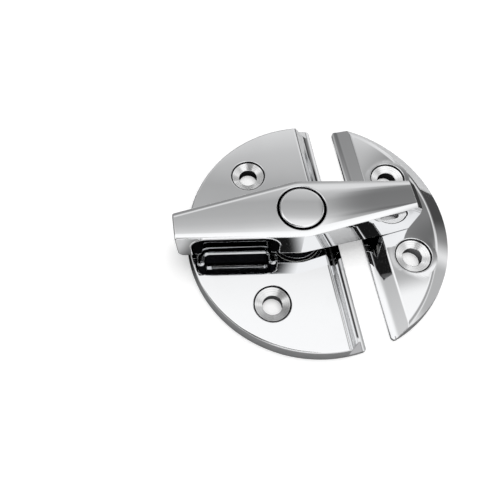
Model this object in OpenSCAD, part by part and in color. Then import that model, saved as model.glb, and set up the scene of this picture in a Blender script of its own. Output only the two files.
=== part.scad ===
// Round turn-button latch: a split disc (base and keeper), a turn bar across the
// split and a push button in the middle of the bar that frees its brake.
// Millimetres. Origin: centre of the base disc on the mounting plane.
// +X crosses the split towards the keeper, +Y runs along the split, +Z points out.

/* [Disc] */
// Outer diameter of the split disc
disc_d = 63.5; // [58:0.5:70]
// Thickness of both plates
plate_t = 3.7; // [3.4:0.1:4.2]
// How far the rim leans in from foot to top edge
rim_draft = 0.55; // [0.3:0.05:0.8]
// Rounding of the rim's top edge
rim_r = 0.45; // [0.3:0.05:0.6]

/* [Base plate] */
// Foot of the base plate's slot side
base_slot_x = 5.8; // [5:0.1:6.5]
// Width of the slope beside the slot
base_slope_w = 4.2; // [3.5:0.1:4.6]
// Width of the ledge at the foot of that slope
base_ledge_w = 1.45; // [1:0.05:1.8]
// Upright land at both slot edges
slot_land = 0.75; // [0.5:0.05:1]
// Rise of the ledges towards the slopes
ledge_rise = 0.35; // [0.2:0.05:0.5]
// Base screw holes, distance left of the centre
base_hole_x = 13.55; // [12:0.05:15]
// Base screw holes, distance between the two
base_hole_pitch = 35.5; // [33:0.1:37]
// Rounding of the base plate's two corners at the slot, in plan
base_corner_r = 0.9; // [0.7:0.1:1.2]
// How far the slope beside the slot stops before the rim
slope_end = 2.1; // [1.6:0.1:2.6]

/* [Keeper plate] */
// How far the keeper stands out from the true circle
keeper_shift = 2.2; // [1:0.1:3]
// Foot of the keeper's slot side
keeper_slot_x = 12.2; // [11.5:0.1:13]
// Width of the keeper's slope beside the slot
keeper_slope_w = 3.9; // [3.4:0.1:4.2]
// Width of the ledge at the foot of the keeper's slope
keeper_ledge_w = 1.1; // [0.8:0.05:1.4]
// Keeper screw holes, distance right of the centre
keeper_hole_x = 22.25; // [21.5:0.05:22.6]
// Keeper screw holes, distance between the two
keeper_hole_pitch = 22.2; // [21:0.1:23]
// Height of the keeper's outer rim
keeper_rim_h = 1.5; // [1.2:0.1:2]
// Width of the bevel between rim and flat
keeper_bevel_w = 3.9; // [3.2:0.1:4.2]
// How far the bevel's own centre lies behind the keeper's, which narrows the bevel at the ends
bevel_back = 6; // [4:0.5:7]
// Radius of the flat pads round the keeper's screw holes
pad_r = 5.7; // [5.5:0.1:5.9]
// Height of those pads above the flat
pad_h = 0.06; // [0.04:0.02:0.12]
// Rounding of the keeper's two corners at the slot, in plan
keeper_corner_r = 0.8; // [0.6:0.1:1.2]

/* [Screw holes] */
// Diameter of the through holes
screw_d = 4.7; // [4.3:0.1:5]
// Diameter of the countersinks at the face
csk_d = 9; // [8.6:0.1:9.4]
// Depth of the countersinks
csk_h = 1.1; // [0.9:0.1:1.4]
// Depth of the steep step at the countersinks' upper edge
csk_lip = 0.4; // [0.3:0.05:0.6]

/* [Turn bar] */
// Pivot, distance left of the disc centre
pivot_x = 4.1; // [3:0.1:5]
// Length of the handle arm from the pivot
arm_l = 29.4; // [27:0.1:31]
// Length of the catch arm from the pivot
catch_l = 28.1; // [27:0.1:29]
// Width of the bar at the pivot
bar_w = 14.5; // [13.8:0.1:15.5]
// Width of the handle end
arm_end_w = 6.8; // [6.2:0.1:7.4]
// Width of the catch end
catch_end_w = 7.3; // [6.4:0.1:8]
// Height of the bar's top above the mounting plane
bar_top = 15; // [14.6:0.1:15.6]
// Height of the bar's underside
bar_under = 6.8; // [6.4:0.1:7.2]
// Drop of the top towards the catch end
catch_drop = 0.7; // [0.3:0.1:1]
// Clearance between the catch foot and the keeper's pads
foot_gap = 0.25; // [0.2:0.05:0.5]
// Rounding of the bar's upper edges
bar_edge_r = 3.2; // [2.8:0.1:3.6]
// Angle at which that rounding meets the walls
bar_edge_a = 65; // [60:1:68]
// Bevel at the catch end
tip_bevel = 1.6; // [1.2:0.1:2]
// How far the catch end leans in at its foot
tip_lean = 0.9; // [0.5:0.1:1.2]
// Softened edges of the handle end
end_soft = 0.4; // [0.3:0.05:0.6]
// How far the walls lean out from top to foot
bar_draft = 0.3; // [0.1:0.05:0.4]
// Wall thickness of the hollow casting
bar_wall = 1.6; // [1.4:0.1:1.8]
// Roof thickness of the hollow casting
bar_roof = 1.8; // [1.6:0.1:2]

/* [Finger grip] */
// Distance from the pivot to the grip's inner end
grip_in = 6.1; // [5.8:0.1:6.6]
// Length of the opening in the front wall
grip_l = 20.3; // [19:0.1:20.6]
// Depth of the pocket behind the front wall
grip_depth = 2.7; // [2.4:0.1:2.8]
// Thickness of the lip round the pocket
grip_lip = 2.1; // [1.8:0.1:2.2]
// Distance from the opening's outer end to the lip
grip_side = 0.25; // [0.2:0.05:0.5]
// Rounding of the opening's upper corners
grip_r = 3.9; // [3.4:0.1:4.4]
// Width of the raised rim round the opening
grip_rim_w = 0.2; // [0.15:0.05:0.3]
// Height of that rim above the wall
grip_rim_h = 0.12; // [0.1:0.02:0.3]

/* [Button and pivot] */
// Diameter of the button
button_d = 10.2; // [10:0.1:10.6]
// Gap round the button
button_gap = 0.52; // [0.3:0.02:0.6]
// Height of the button above the bar
button_proud = 0.25; // [0.1:0.05:0.4]
// Travel of the button
button_travel = 1.4; // [1:0.1:1.4]
// Radius of the pivot post in the bar
post_r = 2.6; // [2.5:0.05:2.7]
// Radius of the post's foot in the base
post_foot_r = 4; // [3.8:0.1:4.2]
// Radius of the post's flange under the base
post_flange_r = 5; // [4.8:0.1:5.4]
// Radius of the button's stem
stem_r = 1.25; // [1.1:0.05:1.3]
// Wire diameter of the button spring
wire_d = 0.44; // [0.36:0.02:0.46]
// Turns of the button spring
spring_turns = 3; // [2.5:0.5:3]
// Radial play of turning and sliding parts
run_fit = 0.06; // [0.04:0.01:0.09]
// Radial play of parts that only stand inside one another
loose_fit = 0.15; // [0.1:0.05:0.2]

/* [Hidden] */
$fn = 96;
eps = 0.01;
disc_r = disc_d / 2;
cut_h = disc_d;
px = -pivot_x;
base_crease_x = base_slot_x - base_slope_w;
keeper_crease_x = keeper_slot_x + keeper_slope_w;
base_hole_y = base_hole_pitch / 2;
keeper_hole_y = keeper_hole_pitch / 2;
ledge_z = slot_land + ledge_rise;
foot_z = plate_t + pad_h + foot_gap;
washer_t = 0.6;
hub_z = plate_t + washer_t;
hub_r = 6.2;
well_r = button_d / 2 + button_gap;
well_z = 9.4;
wave_t = 0.5;
ring_t = 0.6;
ring_z = well_z + wave_t;
ring_r = 3.6;
groove_r = post_r - 0.5;
post_top = ring_z + ring_t + 0.5;
cap_top = bar_top + button_proud;
cap_t = 1.5;
cap_under = cap_top - cap_t;
skirt_r = 3.95;
skirt_z = well_z + button_travel + 0.45;
lug_w = 1.4;
lug_z = skirt_z + 0.7;
lug_r = 4.15;
flange_z = 0;
flange_top = 1.4;
brake_z = 3;
brake_t = 0.7;
brake_r = 2.85;
recess_r = brake_r + loose_fit + 0.1;
head_t = 0.8;
head_r = 2.2;
screw_r = 0.8;
screw_l = 4;
spring_r = ring_r - wire_d / 2;
spring_z = ring_z + ring_t + wire_d / 2;
spring_h = cap_under - wire_d / 2 - spring_z;
arm_hw = arm_end_w / 2;
catch_hw = catch_end_w / 2;
mid_hw = bar_w / 2;
arm_taper = (mid_hw - arm_hw) / arm_l;
catch_taper = (mid_hw - catch_hw) / catch_l;
cav_top = bar_top - bar_roof;
grip_angle = atan(arm_taper);
grip_end = grip_in + grip_l;
slice_t = 0.02;
edge_in = bar_edge_r * cos(bar_edge_a);
edge_drop = bar_edge_r * (1 - sin(bar_edge_a));
grip_roof = 0.25;
grip_top = bar_top - edge_drop - grip_roof;
catch_top = bar_top - catch_drop;

// One countersunk through hole, top face at the given height
module screw_hole(x, y, top)
{
    translate([x, y, -1])
        cylinder(d = screw_d, h = cut_h);
    translate([x, y, top - csk_h])
        cylinder(d1 = screw_d, d2 = csk_d - 2 * csk_lip, h = csk_h - csk_lip);
    translate([x, y, top - csk_lip])
        cylinder(d1 = csk_d - 2 * csk_lip, d2 = csk_d, h = csk_lip);
    translate([x, y, top - eps])
        cylinder(d = csk_d, h = 1);
}

// Cutter that rounds a plate's corner in plan: the slot side runs along x = edge,
// the rim is a circle round [centre, 0] and way is 1 where the plate lies at larger x
module slot_corner(edge, centre, r, way)
{
    inset = r * 0.94;
    cx = edge + way * inset;
    cy = sqrt(pow(disc_r - inset, 2) - pow(cx - centre, 2));
    out = [cx - centre, cy] / (disc_r - inset);
    reach = r + 2;
    for (side = [0, 1])
        mirror([0, side, 0])
            translate([cx, cy, -1])
                difference()
                {
                    linear_extrude(height = plate_t + 3)
                        polygon([[0, 0], [-way * reach, 0], [-way * reach, 2 * reach], reach * out]);
                    translate([0, 0, -1])
                        cylinder(r = r, h = plate_t + 5);
                }
}

// A bar along Y with the given XZ section
module along_y(section)
{
    rotate([90, 0, 0])
        translate([0, 0, -cut_h])
            linear_extrude(height = 2 * cut_h)
                polygon(section);
}

// The round disc with a leaning rim and a rounded top edge
module base_disc()
{
    rotate_extrude()
        union()
        {
            polygon([[0, 0], [disc_r, 0], [disc_r - rim_draft, plate_t - rim_r],
                     [disc_r - rim_draft - rim_r, plate_t], [0, plate_t]]);
            translate([disc_r - rim_draft - rim_r, plate_t - rim_r])
                circle(r = rim_r, $fn = 32);
        }
}

module base_plate()
{
    color([0.8, 0.81, 0.83])
        difference()
        {
            base_disc();
            along_y([[base_slot_x, -1], [base_slot_x, slot_land],
                     [base_slot_x - base_ledge_w, ledge_z], [base_crease_x, plate_t],
                     [base_crease_x - 1, plate_t + 1], [cut_h, plate_t + 1], [cut_h, -1]]);
            slot_corner(base_slot_x, 0, base_corner_r, -1);
            slope_ends();
            screw_hole(-base_hole_x, base_hole_y, plate_t);
            screw_hole(-base_hole_x, -base_hole_y, plate_t);
            translate([px, 0, -1])
                cylinder(r = post_foot_r + run_fit, h = plate_t + 2);
            translate([px, 0, -1])
                cylinder(r = post_flange_r + loose_fit, h = flange_top + 1);
        }
}

// Cutter of the slope's two ends: from the crease at the rim to the ledge before it
module slope_ends()
{
    y_rim = sqrt(pow(disc_r, 2) - pow(base_slot_x, 2));
    x_foot = base_slot_x - base_ledge_w;
    for (side = [0, 1])
        mirror([0, side, 0])
            translate([0, 0, ledge_z])
                linear_extrude(height = plate_t)
                    polygon([[base_crease_x, y_rim + 0.2], [x_foot, y_rim - slope_end], [base_slot_x + 1, y_rim - slope_end],
                             [base_slot_x + 1, y_rim + 3], [base_crease_x, y_rim + 3]]);
}

// The keeper's disc: rim, outer bevel and flat
module keeper_disc()
{
    flat_r = disc_r - rim_draft / 2 - keeper_bevel_w + bevel_back;
    run = keeper_bevel_w / (plate_t - keeper_rim_h);
    lean = rim_draft / 2 / keeper_rim_h;
    intersection()
    {
        rotate_extrude()
            polygon([[0, 0], [disc_r, 0], [disc_r - lean * (plate_t + 1), plate_t + 1], [0, plate_t + 1]]);
        translate([-bevel_back, 0, 0])
            rotate_extrude()
                polygon([[0, -1], [flat_r + run * (plate_t + 1), -1], [flat_r, plate_t], [0, plate_t]]);
    }
}

module keeper_pad(side)
{
    translate([keeper_hole_x, side * keeper_hole_y, plate_t - 1])
        cylinder(r = pad_r, h = 1 + pad_h);
}

module keeper_plate()
{
    color([0.8, 0.81, 0.83])
        difference()
        {
            union()
            {
                translate([keeper_shift, 0, 0])
                    keeper_disc();
                keeper_pad(1);
                keeper_pad(-1);
            }
            along_y([[keeper_slot_x, -1], [keeper_slot_x, slot_land],
                     [keeper_slot_x + keeper_ledge_w, ledge_z], [keeper_crease_x, plate_t],
                     [keeper_crease_x + 1, plate_t + 1], [-cut_h, plate_t + 1], [-cut_h, -1]]);
            slot_corner(keeper_slot_x, keeper_shift, keeper_corner_r, 1);
            screw_hole(keeper_hole_x, keeper_hole_y, plate_t + pad_h);
            screw_hole(keeper_hole_x, -keeper_hole_y, plate_t + pad_h);
        }
}

module pivot_post()
{
    color([0.6, 0.61, 0.63])
        translate([px, 0, 0])
            difference()
            {
                union()
                {
                    translate([0, 0, flange_z])
                        cylinder(r = post_flange_r, h = flange_top - flange_z);
                    translate([0, 0, flange_z])
                        cylinder(r = post_foot_r, h = plate_t - flange_z);
                    translate([0, 0, flange_z])
                        cylinder(r = post_r, h = post_top - flange_z);
                }
                translate([0, 0, -1])
                    cylinder(r = recess_r, h = brake_z + 1);
                translate([0, 0, -1])
                    cylinder(r = stem_r + run_fit, h = cut_h);
                translate([0, 0, ring_z])
                    difference()
                    {
                        cylinder(r = post_r + 1, h = ring_t);
                        translate([0, 0, -1])
                            cylinder(r = groove_r, h = ring_t + 2);
                    }
            }
}

module flat_ring(z, inner, outer, t)
{
    translate([px, 0, z])
        difference()
        {
            cylinder(r = outer, h = t);
            translate([0, 0, -1])
                cylinder(r = inner, h = t + 2);
        }
}

module thrust_washer()
{
    color([0.85, 0.85, 0.82])
        flat_ring(plate_t, post_r + loose_fit, hub_r - 0.2, washer_t);
}

module wave_washer()
{
    color([0.55, 0.56, 0.58])
        flat_ring(well_z, post_r + loose_fit, ring_r, wave_t);
}

module retaining_ring()
{
    color([0.5, 0.51, 0.53])
        difference()
        {
            flat_ring(ring_z, groove_r + run_fit, ring_r, ring_t);
            translate([px, -0.7, ring_z - 1])
                cube([10, 1.4, ring_t + 2]);
        }
}

// A thin upright slice of the bar with rounded upper corners
module bar_slice(x, hw, top, bottom)
{
    r = bar_edge_r;
    edge = top - edge_drop;
    translate([x, 0, 0])
        rotate([90, 0, 90])
            linear_extrude(height = slice_t)
                union()
                {
                    polygon([[-hw - bar_draft, bottom], [hw + bar_draft, bottom], [hw, edge], [-hw, edge]]);
                    intersection()
                    {
                        union()
                        {
                            translate([-hw + edge_in, top - r])
                                circle(r = r, $fn = 96);
                            translate([hw - edge_in, top - r])
                                circle(r = r, $fn = 96);
                        }
                        translate([-hw, edge])
                            square([2 * hw, edge_drop]);
                    }
                }
}

// The convex outer shape of the bar, from the foot height up
module bar_outer()
{
    r = bar_edge_r;
    hull()
    {
        translate([0, 0, foot_z])
            cylinder(r1 = mid_hw + bar_draft, r2 = mid_hw, h = bar_top - edge_drop - foot_z, $fn = 128);
        rotate_extrude($fn = 128)
            intersection()
            {
                translate([mid_hw - edge_in, bar_top - r])
                    circle(r = r, $fn = 96);
                translate([0, bar_top - edge_drop])
                    square([mid_hw, edge_drop]);
            }
        bar_slice(-arm_l, arm_hw - end_soft / 2, bar_top - 0.1 - end_soft, bar_under + 3.5 * end_soft);
        bar_slice(-arm_l + end_soft, arm_hw, bar_top - 0.1, bar_under + 1.75 * end_soft);
        bar_slice(-arm_l + 2 * end_soft, arm_hw, bar_top - 0.1, bar_under + 0.6 * end_soft);
        bar_slice(-arm_l + 8 * end_soft, arm_hw, bar_top - 0.1, foot_z);
        bar_slice(catch_l - tip_bevel, catch_hw, catch_top, foot_z);
        bar_slice(catch_l - tip_lean, catch_hw, catch_top - tip_bevel, foot_z);
        bar_slice(catch_l - slice_t, catch_hw - end_soft / 2, catch_top - tip_bevel, catch_top - 2 * tip_bevel);
    }
}

// The space under the bar: level under the handle arm, sloping down to the catch foot
module bar_below()
{
    along_y([[-cut_h, -1], [-cut_h, bar_under], [1, bar_under], [catch_l - 6, foot_z],
             [cut_h, foot_z], [cut_h, -1]]);
}

// Hollow of the handle arm
module arm_hollow()
{
    w0 = mid_hw - bar_wall - arm_taper * (hub_r + 1.4);
    w1 = arm_hw - bar_wall + arm_taper * bar_wall;
    translate([0, 0, -1])
        linear_extrude(height = cav_top + 1)
            polygon([[-hub_r - 1.4, -w0], [-hub_r - 1.4, w0], [-arm_l + bar_wall, w1], [-arm_l + bar_wall, -w1]]);
}

// Hollow of the catch arm
module catch_hollow()
{
    u1 = catch_l - 7;
    w0 = mid_hw - bar_wall - catch_taper * (hub_r + 1.4);
    w1 = mid_hw - bar_wall - catch_taper * u1;
    translate([0, 0, -1])
        linear_extrude(height = cav_top - catch_drop + 1)
            polygon([[hub_r + 1.4, -w0], [hub_r + 1.4, w0], [u1, w1], [u1, -w1]]);
}

// Places a piece in the plane of the front wall: X along the wall, Y into the bar
module at_front_wall()
{
    translate([0, -mid_hw, 0])
        rotate([0, 0, -grip_angle])
            children();
}

// Plan of the lip round the grip pocket, open to the front
module lip_plan(grow, front)
{
    r = 1 + grow;
    x0 = -grip_end + grip_side + grip_lip - grow;
    x1 = -grip_in - grip_lip + grow;
    y1 = grip_depth + grow;
    translate([x0, -front])
        square([x1 - x0, y1 + front - r]);
    translate([x0 + r, -front])
        square([x1 - x0 - 2 * r, y1 + front]);
    translate([x0 + r, y1 - r])
        circle(r = r, $fn = 48);
    translate([x1 - r, y1 - r])
        circle(r = r, $fn = 48);
}

// The solid the pocket's lip is cut from
module grip_block()
{
    at_front_wall()
        translate([0, 0, -1])
            linear_extrude(height = cut_h)
                lip_plan(grip_lip, 0);
}

// The pocket itself
module grip_pocket()
{
    at_front_wall()
        translate([0, 0, -1])
            linear_extrude(height = grip_top + 1)
                lip_plan(0, 4);
}

// Arched outline of the grip's opening, larger by the given amount
module grip_arch(grow)
{
    h = grip_top - grip_r;
    r = grip_r + grow;
    translate([-grip_end - grow, -1])
        square([grip_l + 2 * grow, h + 1]);
    translate([-grip_end + grip_r, -1])
        square([grip_l - 2 * grip_r, grip_top + grow + 1]);
    translate([-grip_end + grip_r, h])
        circle(r = r, $fn = 64);
    translate([-grip_in - grip_r, h])
        circle(r = r, $fn = 64);
}

// The raised rim round the opening
module grip_rim()
{
    at_front_wall()
        rotate([90, 0, 0])
            translate([0, 0, -bar_wall / 2])
                linear_extrude(height = bar_wall / 2 + grip_rim_h)
                    difference()
                    {
                        grip_arch(grip_rim_w);
                        grip_arch(0);
                    }
}

// The opening in the front wall beside the lip's two ends
module grip_opening()
{
    at_front_wall()
        difference()
        {
            rotate([90, 0, 0])
                translate([0, 0, -bar_wall])
                    linear_extrude(height = bar_wall + 4)
                        grip_arch(0);
            translate([0, 0, -2])
                linear_extrude(height = cut_h)
                    difference()
                    {
                        lip_plan(grip_lip, 0.1);
                        lip_plan(0, 8);
                    }
        }
}

module turn_bar()
{
    color([0.82, 0.83, 0.85])
        translate([px, 0, 0])
            difference()
            {
                union()
                {
                    difference()
                    {
                        union()
                        {
                            bar_outer();
                            grip_rim();
                        }
                        bar_below();
                        difference()
                        {
                            arm_hollow();
                            grip_block();
                        }
                        catch_hollow();
                        grip_pocket();
                        grip_opening();
                    }
                    translate([0, 0, hub_z])
                        cylinder(r = hub_r, h = well_z - hub_z);
                }
                translate([0, 0, -1])
                    cylinder(r = post_r + run_fit, h = cut_h);
                difference()
                {
                    translate([0, 0, well_z])
                        cylinder(r = well_r, h = cut_h);
                    for (side = [-1, 1])
                        translate([-lug_w / 2, side > 0 ? lug_r : -well_r - 1, well_z - 1])
                            cube([lug_w, well_r + 1 - lug_r, lug_z - well_z + 1]);
                }
            }
}

module push_button()
{
    edge = 0.35;
    color([0.82, 0.83, 0.85])
        translate([px, 0, 0])
            difference()
            {
                union()
                {
                    rotate_extrude()
                        union()
                        {
                            polygon([[0, cap_under], [button_d / 2, cap_under], [button_d / 2, cap_top - edge],
                                     [button_d / 2 - edge, cap_top], [0, cap_top]]);
                            translate([button_d / 2 - edge, cap_top - edge])
                                circle(r = edge, $fn = 32);
                        }
                    translate([0, 0, skirt_z])
                        difference()
                        {
                            cylinder(d = button_d, h = cap_under - skirt_z + eps);
                            translate([0, 0, -1])
                                cylinder(r = skirt_r, h = cap_under - skirt_z + 1);
                        }
                    translate([0, 0, brake_z])
                        cylinder(r = stem_r, h = cap_under - brake_z + eps);
                }
                for (side = [-1, 1])
                    translate([-lug_w / 2 - 0.25, side > 0 ? skirt_r - 0.1 : -skirt_r + 0.1 - 3, skirt_z - 1])
                        cube([lug_w + 0.5, 3, lug_z + button_travel + 0.15 - skirt_z + 1]);
                translate([0, 0, brake_z - 1])
                    cylinder(r = screw_r + run_fit, h = screw_l + 1.3);
            }
}

// One ring of points round the spring's wire
function wire_ring(a, z, n) =
    [for (k = [0 : n - 1])
        [(spring_r + wire_d / 2 * cos(360 * k / n)) * cos(a),
         (spring_r + wire_d / 2 * cos(360 * k / n)) * sin(a),
         z + wire_d / 2 * sin(360 * k / n)]];

module button_spring()
{
    n = 10;
    steps = ceil(spring_turns * 30);
    points = [for (i = [0 : steps])
        each wire_ring(360 * spring_turns * i / steps, spring_z + spring_h * i / steps, n)];
    sides = [for (i = [0 : steps - 1], k = [0 : n - 1])
        [i * n + k, (i + 1) * n + k, (i + 1) * n + (k + 1) % n, i * n + (k + 1) % n]];
    first = [for (k = [0 : n - 1]) k];
    last = [for (k = [0 : n - 1]) steps * n + n - 1 - k];
    color([0.6, 0.6, 0.62])
        translate([px, 0, 0])
            polyhedron(points = points, faces = concat([first], sides, [last]), convexity = 6);
}

module brake_washer()
{
    color([0.58, 0.59, 0.61])
        flat_ring(brake_z - brake_t, screw_r + run_fit, brake_r, brake_t);
}

module stem_screw()
{
    z = brake_z - brake_t - head_t;
    color([0.55, 0.56, 0.58])
        translate([px, 0, z])
            difference()
            {
                union()
                {
                    cylinder(r = head_r, h = head_t);
                    cylinder(r = screw_r, h = head_t + brake_t + screw_l);
                }
                translate([-head_r - 1, -0.25, -1])
                    cube([2 * head_r + 2, 0.5, 1.35]);
            }
}

base_plate();
keeper_plate();
pivot_post();
thrust_washer();
turn_bar();
wave_washer();
retaining_ring();
push_button();
button_spring();
brake_washer();
stem_screw();
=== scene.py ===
"""Looks of a mirror-chromed round turn-button latch, in the frame of its CAD model."""

import logging
import math
from dataclasses import dataclass
from enum import Enum
from typing import Any, Callable, Iterable, Sequence

import bmesh
import bpy
from mathutils import Matrix, Vector


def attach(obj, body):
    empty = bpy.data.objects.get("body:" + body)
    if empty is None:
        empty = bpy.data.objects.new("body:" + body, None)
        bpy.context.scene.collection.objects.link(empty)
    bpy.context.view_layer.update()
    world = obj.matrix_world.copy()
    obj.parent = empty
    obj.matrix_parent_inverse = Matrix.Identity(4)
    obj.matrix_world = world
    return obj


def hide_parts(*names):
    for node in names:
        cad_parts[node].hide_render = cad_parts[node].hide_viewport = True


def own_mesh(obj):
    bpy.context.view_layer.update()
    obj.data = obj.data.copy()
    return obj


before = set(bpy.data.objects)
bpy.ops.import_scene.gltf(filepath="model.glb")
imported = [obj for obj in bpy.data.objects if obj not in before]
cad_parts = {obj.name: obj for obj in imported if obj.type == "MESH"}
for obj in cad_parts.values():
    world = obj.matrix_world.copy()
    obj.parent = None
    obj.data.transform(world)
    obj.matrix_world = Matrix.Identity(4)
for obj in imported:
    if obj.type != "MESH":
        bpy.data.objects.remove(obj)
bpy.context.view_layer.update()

LOG = logging.getLogger("latch")
MM = 0.001
# Place of the pivot on X, and sizes that both plates share, in millimetres.
PIVOT = -4.1
DISC_RADIUS = 31.75
PLATE_THICK = 3.7
SLOT_LAND = 0.75
LEDGE_RISE = 0.35
FOOT_EDGE = 0.1
# Cutters reach this far past a face, above both plates, and past the whole part.
PAST = 1.0
ABOVE = 6.0
FAR = 60.0
WHITE = (1.0, 1.0, 1.0, 1.0)
Fade = tuple[float, float]
Point2 = tuple[float, float]
Point3 = tuple[float, float, float]
Colour = tuple[float, float, float]
Place = Callable[[float, float, float], Point3]


class Body(Enum):
    """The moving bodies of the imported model."""

    BASE = "base"
    BAR = "bar"
    BUTTON = "button"


class Slot(Enum):
    """The record's material slots of the pieces that are made here."""

    PLATE = "chrome_plate"
    BAR = "chrome_bar"
    BUTTON = "chrome_button"
    STEEL = "steel"


class Value:
    """A shader socket that can be used in Python sums."""

    def __init__(self, graph: "Graph", socket: bpy.types.NodeSocket) -> None:
        """Keeps the socket and the graph that it belongs to."""
        self.graph = graph
        self.socket = socket

    def _sum(self, operation: str, first: Any, second: Any) -> "Value":
        """Adds one Math node.

        Args:
            operation: Blender's name of the operation.
            first: the first value, a number or a Value.
            second: the second value, a number or a Value.

        Returns:
            The node's result.
        """
        return self.graph.node("ShaderNodeMath", {"operation": operation}, {0: first, 1: second})

    def __add__(self, other: Any) -> "Value":
        """Returns self + other."""
        return self._sum("ADD", self, other)

    def __radd__(self, other: Any) -> "Value":
        """Returns other + self."""
        return self._sum("ADD", other, self)

    def __sub__(self, other: Any) -> "Value":
        """Returns self - other."""
        return self._sum("SUBTRACT", self, other)

    def __rsub__(self, other: Any) -> "Value":
        """Returns other - self."""
        return self._sum("SUBTRACT", other, self)

    def __mul__(self, other: Any) -> "Value":
        """Returns self * other."""
        return self._sum("MULTIPLY", self, other)

    def __rmul__(self, other: Any) -> "Value":
        """Returns other * self."""
        return self._sum("MULTIPLY", other, self)

    def __truediv__(self, other: Any) -> "Value":
        """Returns self / other."""
        return self._sum("DIVIDE", self, other)

    def __rtruediv__(self, other: Any) -> "Value":
        """Returns other / self."""
        return self._sum("DIVIDE", other, self)

    def at_least(self, other: Any) -> "Value":
        """Returns the larger of self and other."""
        return self._sum("MAXIMUM", self, other)

    def ramp(self, low: float, high: float) -> "Value":
        """Returns a smooth step of self.

        Args:
            low: where the result is 0.
            high: where the result is 1; it may lie below low.

        Returns:
            A value from 0 to 1.
        """
        settings = {"interpolation_type": "SMOOTHSTEP"}
        if high >= low:
            return self.graph.node("ShaderNodeMapRange", settings, {0: self, 1: low, 2: high, 3: 0.0, 4: 1.0})
        return self.graph.node("ShaderNodeMapRange", settings, {0: self, 1: high, 2: low, 3: 1.0, 4: 0.0})


class Graph:
    """One node tree that is written in Python expressions."""

    def __init__(self, tree: bpy.types.NodeTree) -> None:
        """Empties the tree."""
        self.tree = tree
        tree.nodes.clear()

    def node(
        self,
        kind: str,
        settings: dict[str, Any] | None = None,
        inputs: dict[Any, Any] | None = None,
        output: Any = 0,
    ) -> Value:
        """Adds one node.

        Args:
            kind: the node's type name.
            settings: values of the node's own properties, set first.
            inputs: values or links by socket name or number.
            output: name or number of the socket that is returned.

        Returns:
            The chosen output, or a Value of the node's last input where it has no output.
        """
        made = self.tree.nodes.new(kind)
        for key, value in (settings or {}).items():
            if key == "stops":
                self._stops(made.color_ramp, value)
            else:
                setattr(made, key, value)
        for key, value in (inputs or {}).items():
            if isinstance(value, Value):
                self.tree.links.new(value.socket, made.inputs[key])
            else:
                made.inputs[key].default_value = value
        sockets = made.outputs if len(made.outputs) else made.inputs
        return Value(self, sockets[output])

    @staticmethod
    def _stops(ramp: bpy.types.ColorRamp, stops: Sequence[tuple[float, float]]) -> None:
        """Sets a grey colour ramp.

        Args:
            ramp: the ramp to fill.
            stops: position and grey level of each stop.
        """
        while len(ramp.elements) < len(stops):
            ramp.elements.new(1.0)
        for element, (place, grey) in zip(ramp.elements, stops):
            element.position = place
            element.color = (grey, grey, grey, 1.0)

    def xyz(self, vector: Value) -> tuple[Value, Value, Value]:
        """Splits a vector into its three coordinates."""
        x, y, z = self.node("ShaderNodeSeparateXYZ", inputs={0: vector}).socket.node.outputs
        return Value(self, x), Value(self, y), Value(self, z)

    def noise(self, place: Value, scale: float, detail: float) -> Value:
        """Returns a noise of the given scale and detail."""
        return self.node("ShaderNodeTexNoise", inputs={"Vector": place, "Scale": scale, "Detail": detail})

    def mix(self, factor: Value, first: Any, second: Any) -> Value:
        """Mixes two colours.

        Args:
            factor: share of the second colour.
            first: the first colour, plain or a Value.
            second: the second colour, plain or a Value.

        Returns:
            The mixed colour.
        """
        return self.node("ShaderNodeMix", {"data_type": "RGBA"}, {"Factor": factor, "A": first, "B": second}, output=2)

    def shaded(self, factor: Value, tint: Colour, share: float) -> Value:
        """Mixes a tint with a darker shade of itself.

        Args:
            factor: share of the darker shade.
            tint: the tint.
            share: brightness of the darker shade, as a share of the tint's.

        Returns:
            The mixed colour.
        """
        return self.mix(factor, (*tint, 1.0), (*(c * share for c in tint), 1.0))

    def surface(self, inputs: dict[str, Any]) -> None:
        """Ends a material with one Principled shader."""
        shader = self.node("ShaderNodeBsdfPrincipled", inputs=inputs)
        self.node("ShaderNodeOutputMaterial", inputs={"Surface": shader})


def blank(name: str) -> tuple[bpy.types.Material, Graph, Value]:
    """Adds an empty material.

    Args:
        name: the material's name.

    Returns:
        The material, its graph and the object's own coordinates.
    """
    made = bpy.data.materials.new(name)
    made.use_nodes = True
    g = Graph(made.node_tree)
    return made, g, g.node("ShaderNodeTexCoord", output="Object")


@dataclass(frozen=True)
class Patch:
    """A part of space with soft edges, given by fades along the axes.

    Attributes:
        x: fades along X; each runs from where it is 0 to where it is 1.
        y: fades along Y.
        z: fades along Z.
    """

    x: tuple[Fade, ...] = ()
    y: tuple[Fade, ...] = ()
    z: tuple[Fade, ...] = ()

    def cover(self, at: Sequence[Value], unit: float = 1.0) -> Value:
        """Works out how far the patch covers a point.

        Args:
            at: the point's three coordinates.
            unit: size of the unit that the fades are given in.

        Returns:
            A value from 0 to 1.
        """
        fades = [(axis, fade) for axis, row in zip(at, (self.x, self.y, self.z)) for fade in row]
        return math.prod(axis.ramp(none * unit, full * unit) for axis, (none, full) in fades)


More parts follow.
